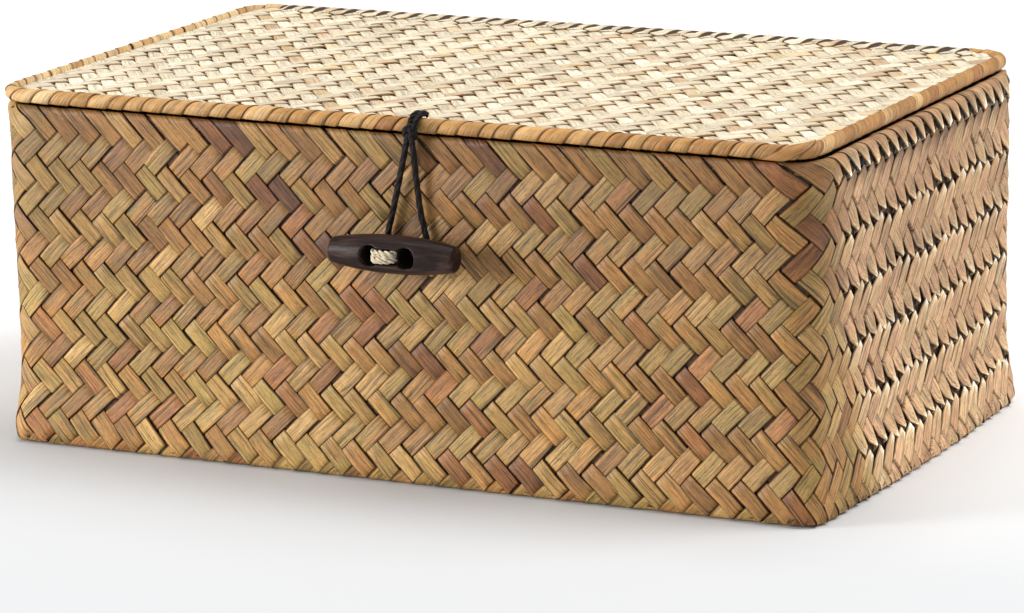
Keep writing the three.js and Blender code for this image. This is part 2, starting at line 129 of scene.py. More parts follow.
def add_camera():
    data = bpy.data.cameras.new("camera")
    data.lens, data.sensor_width = LENS, SENSOR
    data.clip_start, data.clip_end = 0.05, 50
    camera = bpy.data.objects.new("camera", data)
    scene.collection.objects.link(camera)
    azimuth, elevation, roll = (math.radians(angle) for angle in (AZIMUTH, ELEVATION, ROLL))
    flat = math.cos(elevation)
    back = Vector((math.sin(azimuth) * flat, -math.cos(azimuth) * flat, math.sin(elevation)))
    level = Vector((math.cos(azimuth), math.sin(azimuth), 0))
    right = level * math.cos(roll) + back.cross(level) * math.sin(roll)
    camera.location = Vector(TARGET) + back * DISTANCE
    camera.rotation_mode = "QUATERNION"
    camera.rotation_quaternion = Matrix((right, back.cross(right), back)).transposed().to_quaternion()
    scene.camera = camera


add_camera()


# Meshes
def tube_quads(rings, size):
    """Faces between a run of rings of points."""
    i = np.arange(rings - 1)[:, None]
    k = np.arange(size)[None, :]
    a, b = i * size + k, i * size + (k + 1) % size
    return np.stack([a, b, b + size, a + size], -1).reshape(-1, 4)


class Heap:
    """Collects many closed strips into one mesh."""

    def __init__(self):
        self.points, self.faces, self.values, self.count = [], [], {}, 0

    def add(self, rings, **values):
        """rings has the shape (stations, ring size, 3); each value spreads over its first two sizes."""
        stations, size = rings.shape[:2]
        self.points.append(rings.reshape(-1, 3))
        self.faces.extend((tube_quads(stations, size) + self.count).tolist())
        self.faces.append((np.arange(size)[::-1] + self.count).tolist())
        self.faces.append((np.arange(size) + self.count + (stations - 1) * size).tolist())
        for key, value in values.items():
            value = np.asarray(value, float)
            shape = (stations, size, 3) if value.ndim == 3 else (stations, size)
            self.values.setdefault(key, []).append(np.broadcast_to(value, shape).reshape(stations * size, -1))
        self.count += stations * size

    def build(self, name, material, sharp=None):
        """Makes the object, in metres, with edges sharp from an angle in degrees."""
        mesh = bpy.data.meshes.new(name)
        points = np.concatenate(self.points) * 0.001
        mesh.from_pydata(points.tolist(), [], self.faces)
        for key, found in self.values.items():
            value = np.concatenate(found)
            wide = value.shape[1] == 3
            attribute = mesh.attributes.new(key, "FLOAT_VECTOR" if wide else "FLOAT", "POINT")
            flat = np.ascontiguousarray(value, np.float32).ravel()
            attribute.data.foreach_set("vector" if wide else "value", flat)
        mesh.polygons.foreach_set("use_smooth", np.ones(len(mesh.polygons), bool))
        mesh.materials.append(material)
        mesh.update()
        if sharp:
            mesh.set_sharp_from_angle(angle=math.radians(sharp))
        obj = bpy.data.objects.new(name, mesh)
        scene.collection.objects.link(obj)
        return obj


# Shader building
class Nodes:
    """One material and short ways to add nodes to it."""

    def __init__(self, name):
        self.material = bpy.data.materials.new(name)
        self.material.use_nodes = True
        self.tree = self.material.node_tree
        self.shader = self.tree.nodes["Principled BSDF"]

    def add(self, kind, inputs=None, **settings):
        node = self.tree.nodes.new(kind)
        for key, value in settings.items():
            setattr(node, key, value)
        for key, value in (inputs or {}).items():
            self.feed(node, key, value)
        return node

    def feed(self, node, key, value):
        socket = node.inputs[key]
        if isinstance(value, bpy.types.NodeSocket):
            self.tree.links.new(value, socket)
        else:
            socket.default_value = value

    def math(self, operation, *values):
        return self.add("ShaderNodeMath", dict(enumerate(values)), operation=operation).outputs[0]

    def attribute(self, name):
        return self.add("ShaderNodeAttribute", attribute_name=name)

    def ramp(self, factor, stops):
        node = self.add("ShaderNodeValToRGB", {"Fac": factor})
        elements = node.color_ramp.elements
        while len(elements) < len(stops):
            elements.new(0.5)
        for element, (place, color) in zip(elements, stops):
            element.position = place
            element.color = (*color, 1) if isinstance(color, tuple) else (color, color, color, 1)
        return node.outputs["Color"]

    def span(self, value, low, high, start, end):
        """Maps a value from low..high to start..end and holds it there."""
        inputs = {"Value": value, "From Min": low, "From Max": high, "To Min": start, "To Max": end}
        return self.add("ShaderNodeMapRange", inputs).outputs[0]

    def mixed(self, a, b, factor=1.0, mode="MULTIPLY"):
        """Two colours mixed, at the node's colour sockets."""
        inputs = {0: factor, 6: a, 7: b}
        return self.add("ShaderNodeMix", inputs, data_type="RGBA", blend_type=mode).outputs[2]

    def noise(self, vector, scale, detail, roughness=0.55):
        inputs = {"Vector": vector, "Scale": scale, "Detail": detail, "Roughness": roughness}
        return self.add("ShaderNodeTexNoise", inputs).outputs["Fac"]

    def scaled(self, vector, scale):
        return self.add("ShaderNodeVectorMath", {0: vector, 1: scale}, operation="MULTIPLY").outputs[0]

    def fibres(self, place, along, across, detail, roughness=0.55):
        """Noise drawn out along the fibres, with its own scale along and across them."""
        return self.noise(self.scaled(place, (along, across, 1.0)), 1.0, detail, roughness)

    def bump(self, height, distance, strength):
        inputs = {"Height": height, "Distance": distance, "Strength": strength}
        return self.add("ShaderNodeBump", inputs).outputs["Normal"]


def srgb(*levels):
    """Linear colour of three screen levels from 0 to 255."""
    shares = [level / 255 for level in levels]
    return tuple(x / 12.92 if x <= 0.04045 else ((x + 0.055) / 1.055) ** 2.4 for x in shares)


def strip_material(name, palette, half, grain=0.5, streaks=0.3, edge=0.3, dive_shade=0.4, gleam=0.0, ends=None):
    """A dried leaf strip: colour by its tone and fibres along it, painted shade in creases along some strips,
    painted shade along the borders in places for the gaps between strips, a painted highlight along one
    border where gleam is more than 0, and painted shade where it dives under, with the painted brightness of
    the light attribute. Where the plaiting is loose, the palette ends, a paler one of painted light, takes
    over and the painted border shade fades."""
    n = Nodes(name)
    fibre = n.attribute("fibre").outputs["Vector"]
    values = ("tone", "light", "lift", "loose")
    tone, light, lift, loose = (n.attribute(value).outputs["Fac"] for value in values)
    streak = n.fibres(fibre, 0.03, 0.9, 3.0, 0.6)
    fine = n.fibres(fibre, 0.1, 3.2, 3.0, 0.65)
    patch = n.fibres(fibre, 0.13, 0.3, 2.0)
    fleck = n.fibres(fibre, 0.55, 2.2, 2.0, 0.6)
    crease_shade = n.fibres(fibre, 0.012, 0.5, 0.0)
    wander = n.math("MULTIPLY_ADD", n.math("SUBTRACT", patch, 0.5), 0.4, tone)
    wander = n.math("MULTIPLY_ADD", n.math("SUBTRACT", streak, 0.5), streaks, wander)
    color = n.ramp(wander, palette)
    if ends:
        color = n.mixed(color, n.ramp(wander, ends), loose, "MIX")
    color = n.mixed(color, n.ramp(fine, [(0.34, 1 - grain), (0.54, 1.0)]))
    color = n.mixed(color, n.ramp(streak, [(0.32, 1 - grain), (0.46, 0.92), (0.66, 1.0)]))
    color = n.mixed(color, n.ramp(fleck, [(0.3, 1 - 0.7 * grain), (0.47, 1.0)]))
    # Painted shade in creases along some strips
    color = n.mixed(color, n.ramp(crease_shade, [(0.6, 1.0), (0.625, 1 - grain), (0.65, 1.0)]))
    across = n.math("DIVIDE", n.add("ShaderNodeSeparateXYZ", {"Vector": fibre}).outputs["Y"], half)
    share = n.math("ABSOLUTE", across)
    # Painted shade along the borders, for the gaps between strips; seam breaks it up, and it fades where the
    # plaiting is loose
    gap_shade = 0.4 + 0.6 * edge
    brink, rim = (gap_shade, 0.91 * gap_shade, 0.8 * gap_shade), (edge, 0.68 * edge, 0.44 * edge)
    border = n.ramp(share, [(0.0, 0.94), (0.6, 0.98), (0.78, 1.0), (0.9, brink), (1.0, rim)])
    seam = n.span(n.fibres(fibre, 0.16, 0.22, 2.0), 0.38, 0.56, 0.3, 1.0)
    seam = n.math("MULTIPLY", seam, n.math("MULTIPLY_ADD", loose, -0.55, 1.0))
    # Painted highlight along one border, as strong as gleam
    line = n.ramp(n.math("MULTIPLY_ADD", across, 0.5, 0.5), [(0.05, 0.0), (0.1, 1.0), (0.18, 0.0)])
    light = n.math("MULTIPLY", light, n.math("MULTIPLY_ADD", line, gleam, 1.0))
    # Painted shade where the strip dives under the other family, and a little painted light where it lies
    # over, times the light attribute; browner in the dark
    shade = n.math("MULTIPLY", n.span(lift, -0.8, 0.3, dive_shade, 1.14), light)
    browner = {"Green": n.math("POWER", shade, 1.2), "Blue": n.math("POWER", shade, 1.4)}
    brown = n.add("ShaderNodeCombineColor", {"Red": shade, **browner}).outputs[0]
    color = n.mixed(n.mixed(color, border, seam), brown)
    n.feed(n.shader, "Base Color", color)
    n.feed(n.shader, "Roughness", n.math("MULTIPLY_ADD", fine, -0.2, 0.64))
    n.feed(n.shader, "Specular IOR Level", 0.5)
    height = n.math("MULTIPLY_ADD", fine, 0.6, streak)
    height = n.math("SUBTRACT", height, n.math("MULTIPLY", n.math("POWER", share, 6.0), 0.5))
    n.feed(n.shader, "Normal", n.bump(height, 0.0004, 0.9))
    return n.material


WALL_PALETTE = [
    (0.0, srgb(208, 168, 108)),
    (0.08, srgb(200, 154, 92)),
    (0.22, srgb(188, 142, 76)),
    (0.36, srgb(164, 132, 68)),
    (0.5, srgb(186, 130, 67)),
    (0.64, srgb(158, 114, 58)),
    (0.78, srgb(174, 112, 58)),
    (0.9, srgb(150, 96, 50)),
    (1.0, srgb(122, 76, 42)),
]
# Paler, pinker palette of the loose end walls: painted light and sheen that the ends catch, with a near-white
# first stop for painted highlights on the points of the floats
LIT_END_PALETTE = [
    (0.0, srgb(255, 246, 230)),
    (0.12, srgb(238, 202, 158)),
    (0.3, srgb(212, 170, 118)),
    (0.5, srgb(222, 170, 124)),
    (0.7, srgb(198, 152, 104)),
    (0.85, srgb(208, 146, 106)),
    (1.0, srgb(138, 92, 64)),
]
LID_PALETTE = [
    (0.0, srgb(238, 224, 196)),
    (0.3, srgb(224, 206, 174)),
    (0.6, srgb(232, 216, 186)),
    (0.78, srgb(224, 197, 150)),
    (0.9, srgb(219, 188, 158)),
    (1.0, srgb(202, 170, 124)),
]
RIM_PALETTE = [
    (0.0, srgb(224, 188, 134)),
    (0.25, srgb(204, 154, 92)),
    (0.5, srgb(184, 132, 68)),
    (0.75, srgb(176, 116, 60)),
    (1.0, srgb(136, 86, 46)),
]

wall_leaf = strip_material(
    "wall_leaf", WALL_PALETTE, WALL_HALF, grain=0.62, edge=0.2, dive_shade=0.34, gleam=0.22, ends=LIT_END_PALETTE
)
lid_leaf = strip_material("lid_leaf", LID_PALETTE, LID_HALF, grain=0.36, edge=0.66, dive_shade=0.3)
rim_leaf = strip_material("rim_leaf", RIM_PALETTE, WRAP_HALF, grain=0.45, streaks=0.55, edge=0.12)


# Form of the walls
def soft_step(value):
    """A smooth rise from 0 to 1."""
    value = np.clip(value, 0, 1)
    return value * value * (3 - 2 * value)


def waist(z):
    """How far the walls draw in at a height; less than nothing where they flare at the ground."""
    rise = np.sin(np.clip(z / WAIST_HEIGHT, 0, 1) * math.pi / 2) ** 2
    fall = np.sin(np.clip((WALL_TOP - z) / (WALL_TOP - WAIST_HEIGHT), 0, 1) * math.pi / 2) ** 2
    below = (WAIST_DEPTH + BASE_FLARE) * rise - BASE_FLARE
    return np.where(z < WAIST_HEIGHT, below, WAIST_DEPTH * fall)


def corner_radius(z):
    """Radius of the box's corners at a height."""
    return RADIUS_BASE + (RADIUS_TOP - RADIUS_BASE) * np.clip(z / WALL_TOP, 0, 1)


def wall_profile():
    """Length along the middle of the plaiting, with how far in from the outer face and how high it is: from
    under the base, up the wall and over the hoop to the inside. The length equals the height at one level;
    round the hoop it is that of the outer face, so that the strips stay straight."""
    level = 50.0
    quarter_turn = np.linspace(0, math.pi / 2, 9)[1:]
    half_turn = np.linspace(0, math.pi, 13)[1:]
    rise = np.linspace(0, 1, 9)[1:]
    foot_in, foot_top, hoop_in = WALL_IN + FOOT_R, FOOT_Z + FOOT_R, RIM_IN + HOOP_R
    run = [(t, FOOT_Z) for t in np.linspace(BASE_REACH, foot_in, 6)]
    run += [(foot_in - FOOT_R * math.sin(a), foot_top - FOOT_R * math.cos(a)) for a in quarter_turn]
    run += [(WALL_IN, z) for z in np.linspace(foot_top, RIM_FOOT, 50)[1:]]
    run += [(WALL_IN + (RIM_IN - WALL_IN) * soft_step(t), RIM_FOOT + RIM_RISE * t) for t in rise]
    run += [(RIM_IN, z) for z in (HOOP_Z - 1.9, HOOP_Z)]
    run += [(hoop_in - HOOP_R * math.cos(a), HOOP_Z + HOOP_R * math.sin(a)) for a in half_turn]
    run += [(hoop_in + HOOP_R, HOOP_Z - t) for t in np.linspace(0, INSIDE_DROP, INSIDE_STEPS + 1)[1:]]
    run = np.array(run)
    steps = np.linalg.norm(np.diff(run, axis=0), axis=1)
    steps[run[1:, 1] + run[:-1, 1] > 2 * HOOP_Z] *= HOOP_STRETCH
    length = np.r_[0, np.cumsum(steps)]
    outside = slice(0, run[:, 1].argmax())
    return length - np.interp(level, run[outside, 1], length[outside]) + level, run[:, 0], run[:, 1]


PROFILE_V, PROFILE_IN, PROFILE_Z = wall_profile()

# Length at which the strips have passed over the hoop
FOLD_V = float(PROFILE_V[-INSIDE_STEPS - 2])

# Lengths round the box, measured at one height: the four sides and corners in turn, from the front's left end
MEASURE_Z, CORNER_IN = 60.0, 0.9
MEASURE_R = float(corner_radius(MEASURE_Z))
STRAIGHT_IN = float(waist(np.array(MEASURE_Z))) + MEASURE_R
LONG, SHORT = 2 * (HALF_LENGTH - STRAIGHT_IN), 2 * (HALF_DEPTH - STRAIGHT_IN)
ARC = math.pi / 2 * (MEASURE_R - CORNER_IN)
ENDS = SHORT * WALL_PITCH / END_PITCH
SPANS = np.array([LONG, ARC, ENDS, ARC, LONG, ARC, ENDS, ARC])
STARTS = np.r_[0, np.cumsum(SPANS)]
ROUND = STARTS[-1]
STRANDS = int(round(ROUND / WALL_PITCH))
PITCH = ROUND / STRANDS


def past_front(u):
    """Distance round the box, either way, from the nearer end of the front's straight length."""
    return np.abs(np.mod(u - LONG / 2 + ROUND / 2, ROUND) - ROUND / 2) - LONG / 2


def looseness(u, v):
    """0 on the tight front and back, 1 on the end walls. The front's tight plaiting reaches round its
    corners, further at the ground."""
    past = past_front(u)
    reach, fade = np.interp(v, [10, 35, 60, 104], [40, 30, 18, 12]), 18
    return soft_step((past - reach) / fade) * soft_step((2 * ARC + ENDS - past) / ARC)


def wall_height(u, v):
    """Length up the wall for a place in the plaiting, whose rows are longer and higher on the end walls."""
    past = past_front(u)
    lead, fade = 20, 62
    share = soft_step((past + lead) / fade) * soft_step((2 * ARC + ENDS + lead - past) / fade)
    top = TOP_FLOAT + END_RAISE * share
    stretch = ROW_STRETCH + (END_STRETCH - ROW_STRETCH + END_RAISE / TOP_FLOAT) * share
    above = FOLD_V - (FOLD_V - v) * (FOLD_V - top) / (FOLD_V - TOP_FLOAT)
    return np.where(v < TOP_FLOAT, top - (TOP_FLOAT - v) * stretch, np.where(v < FOLD_V, above, v))


def wall_surface(u, v):
    """Point of the plaiting's middle surface, at a distance u round the box and v up it."""
    v = wall_height(u, v)
    inset = np.interp(v, PROFILE_V, PROFILE_IN)
    z = np.interp(v, PROFILE_V, PROFILE_Z)
    w = waist(np.clip(z, 0, WALL_TOP))
    inner = np.maximum(corner_radius(z) - inset, 0.3)
    cx, cy = HALF_LENGTH - w - inset - inner, HALF_DEPTH - w - inset - inner
    u = np.mod(u, ROUND)
    span = np.clip(np.searchsorted(STARTS, u, side="right") - 1, 0, len(SPANS) - 1)
    share = (u - STARTS[span]) / SPANS[span]
    side = span // 2
    along = 2 * share - 1
    angle = (side - 1 + share) * math.pi / 2
    curved = span % 2 == 1
    end_x = cx + inner + END_BOW * (1 - along**2) * np.exp(-z / BOW_HEIGHT)
    flat_x = np.choose(side, [along * cx, end_x, -along * cx, -end_x])
    flat_y = np.choose(side, [-cy - inner, along * cy, cy + inner, -along * cy])
    x = np.where(curved, np.choose(side, [1, 1, -1, -1]) * cx + inner * np.cos(angle), flat_x)
    y = np.where(curved, np.choose(side, [-1, 1, 1, -1]) * cy + inner * np.sin(angle), flat_y)
    return np.stack([x, y, z + 0 * x], -1)


def surface_normals(surface, u, v):
    """Outward normals of a surface, from points a small step away."""
    step = 0.05
    du = surface(u + step, v) - surface(u - step, v)
    dv = surface(u, v + step) - surface(u, v - step)
    n = np.cross(du, dv)
    return n / np.maximum(np.linalg.norm(n, axis=-1, keepdims=True), 1e-9)


# Cross section of a strip, in shares of its half width and of its thickness
SECTION = np.array([(-1, 0), (-0.95, 0.5), (0.95, 0.5), (1, 0), (0.95, -0.5), (-0.95, -0.5)])


def wave(phase, bend):
    """Two over and two under: flat floats with short bends between; phase counts crossings. Gives the swing,
    from 1 over to -1 under, a bow along each float, the distance from the end of the over float, and the
    number of the float."""
    t = np.mod(phase + 0.5, 4)
    over = np.where(t < 2, 1, -1)
    edge = np.minimum(np.mod(t, 2), 2 - np.mod(t, 2)) * over
    bow = over * (1 - (np.mod(t, 2) - 1) ** 2)
    floats = np.floor((phase + 0.5) / 2).astype(int)
    return np.sin(np.clip(edge / bend, -1, 1) * math.pi / 2), bow, t - 2, floats


def taper(past, before, after):
    """1 at the end of a float, falling to 0 over the given distances before and after it."""
    return np.clip(1 - np.where(past < 0, -past / before, past / after), 0, 1)


def stations(first, last, bend):
    """Phases at which a strand needs points: round each bend and in the middle of each float."""
    k = np.arange(math.floor(first / 2) - 1, math.ceil(last / 2) + 1)
    found = (1.5 + 2 * k[:, None] + np.array([-0.5, -bend, bend, 0.5, 1.0])[None, :]).ravel()
    return found[(found > first) & (found < last)]


def smooth_random(count, knots, generator):
    """A smooth run of random values."""
    values = generator.random(knots)
    return np.interp(np.linspace(0, knots - 1, count), np.arange(knots), values)


def float_values(floats, spread, generator):
    """One random value for each float of a strand."""
    return generator.normal(0, spread, floats.max() - floats.min() + 1)[floats - floats.min()]


def fibre_place(along, across, generator, far=900):
    """Where the points of one strip or yarn lie in its pattern of fibres, which starts at a random place."""
    shape = (len(along), len(across))
    along = np.broadcast_to(along[:, None] + generator.uniform(0, far), shape)
    across = np.broadcast_to(across[None, :], shape)
    return np.stack([along, across, np.full(shape, generator.uniform(0, 300))], -1)


def add_strip(heap, points, along, half, tone, light, lift, under_shade, generator, loose=0.0):
    """One strip with its own place in the leaf's pattern. Its two faces get painted light and shade as they
    lie over or under; under_shade paints more shade on the outer face."""
    fibre = fibre_place(along, SECTION[:, 0] * half, generator)
    face = np.clip(SECTION[None, :, 1] * 4, -1, 1)
    light = light[:, None] * (1 - under_shade[:, None] * np.clip(face, 0, 1))
    loose = np.reshape(loose, (-1, 1))
    heap.add(points, fibre=fibre, tone=tone[:, None], light=light, lift=lift[:, None] * face, loose=loose)


def add_shade_sheet(heap, surface, u, v, depth=-0.5, light=0.5):
    """A thin dark sheet of painted shade between the two layers of strips, which closes the pin holes and
    shows as shade through them. Its height above their middle surface is one value, or one for each v."""
    uu, vv = np.broadcast_arrays(np.r_[u, u[::-1]][None, :], v[:, None])
    faces = np.repeat([0.05, -0.05], len(u))
    h = np.reshape(depth, (-1, 1)) + faces[None, :]
    points = surface(uu, vv) + h[..., None] * surface_normals(surface, uu, vv)
    fibre = np.stack([vv, np.zeros(vv.shape), np.zeros(vv.shape)], -1)
    heap.add(points, fibre=fibre, tone=0.95, light=light, lift=-1, loose=0)


# Tones of the leaves and how many of them there are
WALL_TONES, WALL_ODDS = [0.17, 0.24, 0.38, 0.5, 0.62, 0.76, 0.9], [0.05, 0.22, 0.28, 0.26, 0.13, 0.05, 0.01]
LID_TONES, LID_ODDS = [0.05, 0.22, 0.4, 0.58, 0.8, 0.92], [0.27, 0.25, 0.22, 0.15, 0.06, 0.05]


def leaf_tone(count, floats, generator, tones, odds, change, lightest):
    """Tone along one strand: its own leaf colour, a slow drift, and a change from float to float."""
    own = generator.choice(tones, p=odds)
    drift = smooth_random(count, 6, generator) - 0.5
    return np.clip(own + 0.25 * drift + float_values(floats, change, generator), lightest, 1)


def wall_tone(count, floats, generator):
    return leaf_tone(count, floats, generator, WALL_TONES, WALL_ODDS, change=0.07, lightest=0.12)


def lid_tone(count, floats, generator):
    return leaf_tone(count, floats, generator, LID_TONES, LID_ODDS, change=0.05, lightest=0.0)


def brightness_by_place(u, height):
    """How bright the walls are: darker towards the top; painted shade at both ends of the front, most at the
    top of its left end and by its right corner; and on the right end wall, painted light low down and painted
    shade high up, most towards its back."""
    high = np.interp(height, [0, 45, 104], [1.1, 1.0, 0.78])
    high -= np.interp(u, [0, 60], [0.12, 0.0]) * np.interp(height, [70, 104], [0, 1])
    front = np.interp(u, [0, 50, LONG - 80, LONG, LONG + ARC], [0.95, 1.0, 1.0, 0.92, 1.0])
    right = np.interp(u, [LONG + ARC, LONG + ARC + ENDS, 2 * LONG], [0, 1, 0])
    return high * front * (1 + right * np.interp(height, [0, 104], [0.13, -0.1]))


# Length of a bend between floats, in crossings, and the phase at the ground that ends a float at the top
WALL_BEND = 0.07
GROUND_PHASE = 2.5 - 2 * TOP_FLOAT / PITCH


def wall_stations():
    """Lengths up the wall at which a strand has points, and its phase there, which holds over the hoop."""
    rows = stations(GROUND_PHASE - 2 * 5 / PITCH, GROUND_PHASE + 2 * 103 / PITCH, WALL_BEND)
    v = np.r_[
        np.arange(-6, 11, 0.9),
        (rows - GROUND_PHASE) * PITCH / 2,
        np.linspace(104.5, 107.8, 5),
        np.linspace(108.1, FOLD_V, 11),
        np.linspace(FOLD_V + 0.8, PROFILE_V[-1], 5),
    ]
    v.sort()
    return v, GROUND_PHASE + 2 * (v - np.clip(v - TOP_FLOAT, 0, 10.0)) / PITCH


def weave_walls():
    """Both families of strands round the box, in four pieces by the side on which each strand stands. Where
    the plaiting is loose, a float narrows to a pale point with a painted highlight where it comes out from
    under the other family, and strands lying under get painted shade; the top floats of the falling family
    narrow to teeth under the rim, with painted highlights on the teeth and painted shade on the rising family
    below them."""
    heaps = [Heap() for _ in range(4)]
    v, row = wall_stations()
    swing, bow, past, floats = wave(row, WALL_BEND)
    top_row = (row > 1.5) & (v < FOLD_V)
    side_ends, half_height = STARTS[1::2] + ARC / 2, 55
    for sign in (1, -1):
        tips = taper(past, 0.9, 0.2) if sign > 0 else taper(past, 0.2, 1.05)
        pinch = 0.5 if sign > 0 else 0.92
        under = np.clip(-sign * swing, 0, 1)
        for i in range(STRANDS):
            # Course of the strand
            start = (i if sign > 0 else i - GROUND_PHASE) * PITCH + rng.normal(0, 0.22)
            loose = looseness(start + sign * v, v)
            slip = v + rng.normal(0, 0.6) * loose * np.interp(v, [5, 15, 95, TOOTH_FOOT], [0, 1, 1, 0])
            height = wall_height(start + sign * slip, slip)
            tooth = np.interp(height, [TOOTH_FOOT, TOOTH_TIP], [1, 0]) * top_row * (sign < 0)
            narrow = np.maximum(tips, tooth)

            # Outline, whose ends lie level at the ground and at the rim
            wide = rng.uniform(0.88, 1.0) * (1 + float_values(floats, 0.02, rng) + 0.03 * sign * bow)
            wide = wide * (1 - loose * pinch * narrow * np.clip(1 + float_values(floats, 0.12, rng), 0, 1.08))
            wander = 0.7 * (smooth_random(len(v), 14, rng) - 0.5)
            xi = SECTION[None, :, 0] * (PITCH / math.sqrt(8) * wide)[:, None] + wander[:, None]
            level = np.interp(height, [-0.5, 2.0, 104.5, 108.5], [1, 0, 0, 1])[:, None]
            uu = start + sign * slip[:, None] + xi / math.sqrt(2) * (1 + level)
            vv = slip[:, None] - sign * xi / math.sqrt(2) * (1 - level)

            # Height over the middle surface
            size = np.interp(height, [-6, 0, 4, TOOTH_FOOT, 107, FOLD_V + 2], [0.6, 0.8, 1, 1, 0.85, 0.75])
            slack = loose * np.interp(height, [0, 8], [0, 1])
            lift = sign * (swing + 0.2 * bow) * WALL_LIFT * size * (1 + 0.6 * slack) + 0.3 * slack * narrow
            lift += 0.12 * (1 + slack) * size * (smooth_random(len(v), 14, rng) - 0.5)
            tilt = float_values(floats, 0.02, rng) * (1 + loose)
            h = lift[:, None] + SECTION[None, :, 1] * WALL_STRIP + xi * tilt[:, None]
            points = wall_surface(uu, vv) + h[..., None] * surface_normals(wall_surface, uu, vv)

            # Brightness and tone, with painted highlights on the points of the floats and painted shade on
            # strands that lie under others
            tip_highlight = np.interp(height, [88, TOOTH_FOOT], [0.65, 1.3]) * loose * narrow**2
            light = rng.normal(1.01, 0.09) + float_values(floats, 0.08, rng) * (1 - 0.5 * loose) + tip_highlight
            # Painted light and shade by place on the walls
            light = np.clip(light * brightness_by_place(np.mod(start + sign * slip, ROUND), height), 0.65, 1.8)
            # Painted shade on strands that lie under others where the plaiting is loose; on the rising family
            # also below the rim, behind the teeth
            under_shade = 0.7 * loose * under
            if sign > 0:
                below_rim = np.interp(height, [98, 101.5, 108, 110], [0, 1, 1, 0])
                under_shade = np.maximum(under_shade, 0.85 * loose * below_rim)
            tone = wall_tone(len(v), floats, rng)
            # Paler towards the palette's near-white at the points and teeth: painted highlight
            tone = (tone + 0.45 * loose * (0.42 - tone)) * (1 - 0.9 * loose * narrow**1.5)
            half_way = (start + sign * half_height) % ROUND
            heap = heaps[int(np.searchsorted(side_ends, half_way)) % 4]
            along = v * math.sqrt(2)
            add_strip(heap, points, along, WALL_HALF, tone, light, sign * swing, under_shade, rng, loose)
    for side, heap in enumerate(heaps):
        u = np.linspace(STARTS[2 * side] - ARC / 2 - 0.1, STARTS[2 * side + 1] + ARC / 2 + 0.1, 140)
        v = np.r_[np.linspace(-5, 11, 18), np.arange(15, 104, 5.0), np.linspace(104, PROFILE_V[-2], 14)]
        add_shade_sheet(heap, wall_surface, u, v)
    return heaps


for heap, side in zip(weave_walls(), ("front", "right", "back", "left")):
    piece = heap.build(f"weave_{side}", wall_leaf, sharp=42)
    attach(piece, "box")
    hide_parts(f"{side}_wall", f"rim_{side}")


# Flat plaiting of the base, the lid and the hinge
def clip_rounded(x, y, left, right, front, back, corner_front, corner_back):
    """True for points inside a rectangle with rounded corners."""
    inside = (x > left) & (x < right) & (y > front) & (y < back)
    for corner, cy, sign in ((corner_front, front + corner_front, -1), (corner_back, back - corner_back, 1)):
        beyond = (y - cy) * sign > 0
        for cx, out in ((left + corner, -1), (right - corner, 1)):
            in_corner = beyond & ((x - cx) * out > 0)
            inside &= ~in_corner | (np.hypot(x - cx, y - cy) < corner)
    return inside


def weave_flat(
    surface, inside, box, a, b, lift, thickness, half, tones, cover, bend, pinch=0.0, sunk=0.0, apart=None
):
    """Two families of strands over a plane, whose floats stand in columns along y. A strand moves a in x and
    b in y from one crossing to the next; box gives the limits in x and y. The floats of one family narrow by
    pinch and lie lower by sunk where they come out from under the other. Where apart is near 1, one family
    lies over the other and its strands stand apart."""
    heap = Heap()
    length = math.hypot(a, b)
    width = 2 * a * b / length
    m = stations(box[0] / a - 2, box[1] / a + 2, bend)
    if apart:
        m = np.unique(np.r_[m, np.arange(m[0], m[-1], 0.2)])
    reach = int((box[3] - box[2]) / b + (box[1] - box[0]) / a) + 8
    for sign in (1, -1):
        for i in range(-reach, reach):
            x, y = m * a, sign * (m - 2 * i) * b
            keep = np.flatnonzero(inside(x, y))
            if len(keep) < 4:
                continue
            mm, xx, yy = (value[keep[0] : keep[-1] + 1] for value in (m, x, y))
            own = np.random.default_rng([abs(i), i > 0, sign + 1, int(a * 100)])
            plain = apart(yy) if apart else np.zeros(len(mm))
            swing, bow, past, floats = wave(mm, bend)
            near = taper(past, 0.2, 1.1) * (sign < 0) * (1 - plain)
            near = near * np.clip(1 + float_values(floats, 0.35, own), 0.2, 1.7)
            wide = width / 2 * own.uniform(*cover) * (1 - pinch * near)
            wide = wide * (1 - plain * (0 if sign < 0 else own.uniform(0.35, 0.75)))
            wander = 0.3 * (smooth_random(len(mm), 9, own) - 0.5)
            xi = SECTION[None, :, 0] * wide[:, None] + wander[:, None]
            px, py = xx[:, None] + xi * b / length, yy[:, None] - sign * xi * a / length
            swing = swing + (1 - swing) * plain
            rise = sign * (swing * (1 - 0.25 * plain) + 0.3 * bow * (1 - plain)) * lift
            rise = rise - sunk * near * (past > 0) + 0.16 * (smooth_random(len(mm), 14, own) - 0.5)
            tilt = float_values(floats, 0.03, own)
            h = rise[:, None] + SECTION[None, :, 1] * thickness + xi * tilt[:, None]
            points = surface(px, py) + h[..., None] * surface_normals(surface, px, py)
            light = np.clip(own.normal(0.98, 0.05) + float_values(floats, 0.05, own), 0.75, 1.2)
            # Painted shade on the lower family where the strands stand apart
            under_shade = 0.85 * plain * (sign < 0)
            tone = tones(len(mm), floats, own)
            add_strip(heap, points, mm * length, half, tone, light, sign * swing, under_shade, own)
    return heap


BASE_X, BASE_Y, BASE_Z, BASE_CORNER = 136, 79, 1.7, 5
BASE_BOX = (-BASE_X, BASE_X, -BASE_Y, BASE_Y)


def base_surface(x, y):
    return np.stack([x, y, np.full(np.shape(x), BASE_Z)], -1)


def inside_base(x, y):
    return clip_rounded(x, y, *BASE_BOX, BASE_CORNER, BASE_CORNER)


